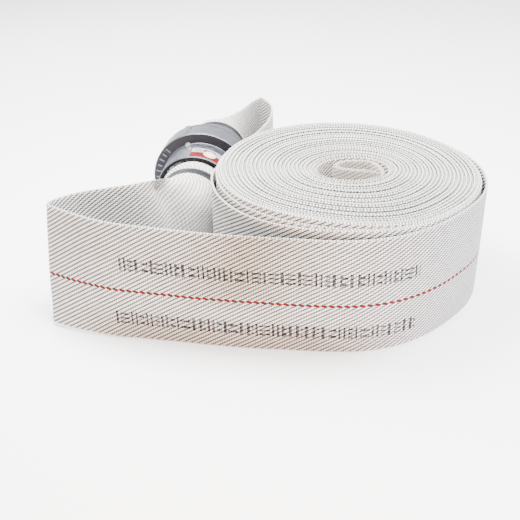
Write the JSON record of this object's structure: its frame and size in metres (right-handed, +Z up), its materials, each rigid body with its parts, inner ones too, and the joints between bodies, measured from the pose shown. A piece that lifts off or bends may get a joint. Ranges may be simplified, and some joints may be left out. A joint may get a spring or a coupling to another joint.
{
  "type": "rolled fire hose",
  "caption": "Double-rolled lay-flat fire hose with a woven jacket, standing on its roll edge, its two end couplings with internal lugs locked together behind it.",
  "frame": {"origin": "on the floor, in the middle of the footprint", "axes": "+Z up along the axis of the roll, +X from the fold of the loose end towards the roll, +Y from the front of the roll towards the couplings"},
  "size_m": [0.3832, 0.3768, 0.1115],
  "materials": {
    "jacket": "matte",
    "lining": "satin",
    "cast_alloy": "satin",
    "tail_alloy": "satin",
    "seal_rubber": "matte",
    "spring_wire": "satin",
    "plug_steel": "satin",
    "clamp_steel": "satin",
    "screw_steel": "satin",
    "sticker": "satin"
  },
  "bodies": {
    "hose": {"circlip_a": "spring_wire", "circlip_b": "spring_wire", "clamp_band_a": "clamp_steel", "clamp_band_b": "clamp_steel", "clamp_housing_a": "clamp_steel", "clamp_housing_b": "clamp_steel", "hose_back_run": "jacket", "hose_core": "jacket", "hose_front_run": "jacket", "hose_rear_bend": "jacket", "hose_rear_run": "jacket", "hose_roll": "jacket", "hose_sleeve_a": "jacket", "hose_sleeve_b": "jacket", "lining_end_a": "lining", "lining_end_b": "lining", "seal_a": "seal_rubber", "seal_b": "seal_rubber", "tail_a": "tail_alloy", "tail_b": "tail_alloy"},
    "lug_ring_a": {"lug_ring_a": "cast_alloy", "wire_plug_a": "plug_steel", "neck_label": "sticker"},
    "lug_ring_b": {"lug_ring_b": "cast_alloy", "wire_plug_b": "plug_steel"},
    "clamp_screw_a": {"clamp_screw_a": "screw_steel"},
    "clamp_screw_b": {"clamp_screw_b": "screw_steel"}
  },
  "joints": [
    {"name": "coupling_swivel", "type": "hinge", "parent": "hose", "child": "lug_ring_b", "pos_m": [-0.06242, 0.06106, 0.0529], "axis": [0.1495, 0.9888, 0], "continuous": true},
    {"name": "unlock_turn", "type": "hinge", "parent": "lug_ring_b", "child": "lug_ring_a", "pos_m": [-0.06242, 0.06106, 0.0529], "axis": [0.1495, 0.9888, 0], "range_deg": [0, 42]},
    {"name": "clamp_screw_turn_a", "type": "hinge", "parent": "hose", "child": "clamp_screw_a", "pos_m": [-0.09175, -0.00146, 0.01886], "axis": [-0.8563, 0.1295, 0.5], "continuous": true},
    {"name": "clamp_screw_turn_b", "type": "hinge", "parent": "hose", "child": "clamp_screw_b", "pos_m": [-0.08583, 0.13155, 0.07314], "axis": [-0.5092, 0.077, -0.8572], "continuous": true}
  ]
}
